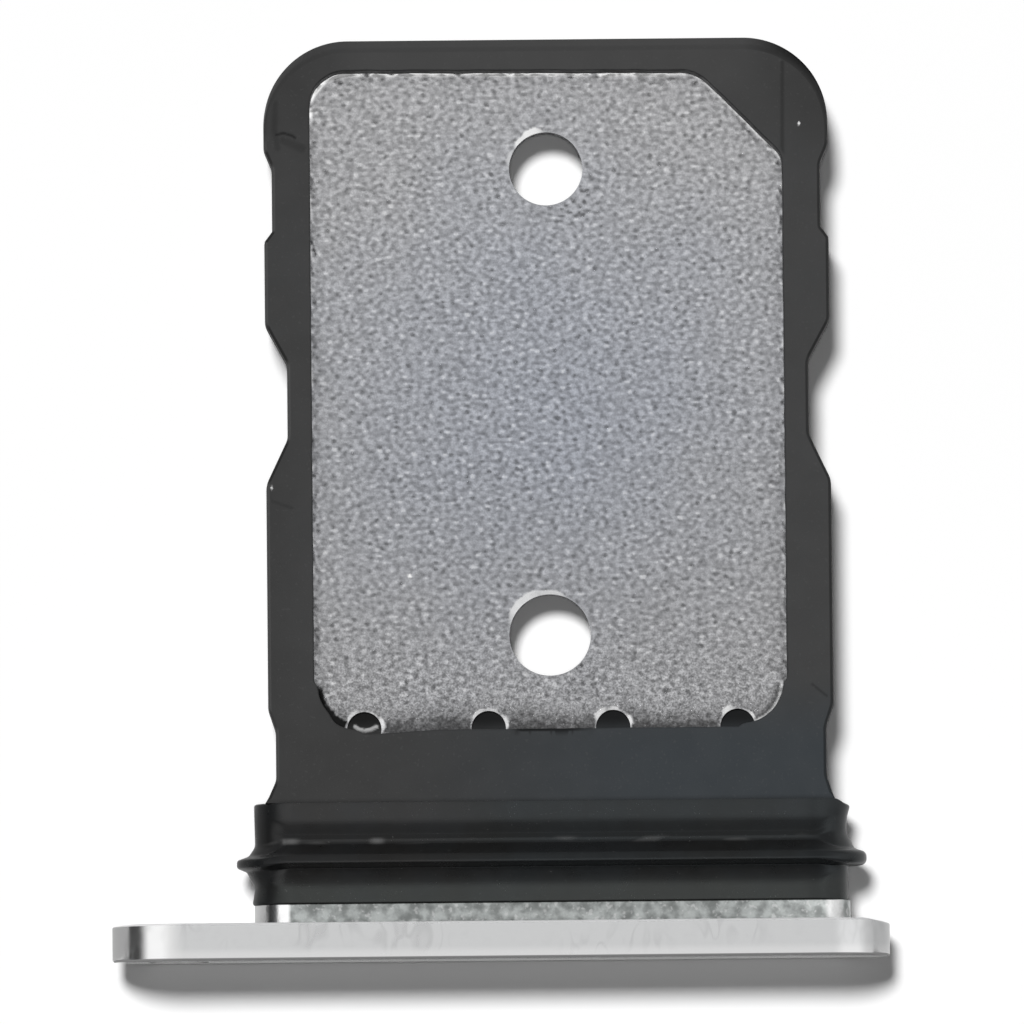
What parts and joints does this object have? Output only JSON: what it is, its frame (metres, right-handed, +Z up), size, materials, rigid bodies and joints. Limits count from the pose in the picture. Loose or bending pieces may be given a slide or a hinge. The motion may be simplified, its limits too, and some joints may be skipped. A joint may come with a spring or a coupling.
{
  "type": "sim card tray",
  "caption": "Slide-in card tray: polished metal end bar with round ends, flared rubber seal ring, notched dark plastic frame with a keyed pocket, and a grained metal floor with push holes.",
  "frame": {"origin": "middle of the tray's box, on the surface that the end bar rests on", "axes": "+Y is the way the tray slides in, +Z is up out of the card pocket, and +X runs along the end bar towards its shorter overhang"},
  "size_m": [0.0146, 0.0174, 0.0022],
  "materials": {
    "cap_metal": "polished, with faint smudges",
    "plate_metal": "bead blasted, with a fine leathery grain",
    "frame_plastic": "fine moulded matt",
    "seal_rubber": "smooth satin rubber"
  },
  "bodies": {
    "root": {"end_cap": "cap_metal", "carrier_plate": "plate_metal", "frame": "frame_plastic", "seal": "seal_rubber"}
  },
  "joints": []
}
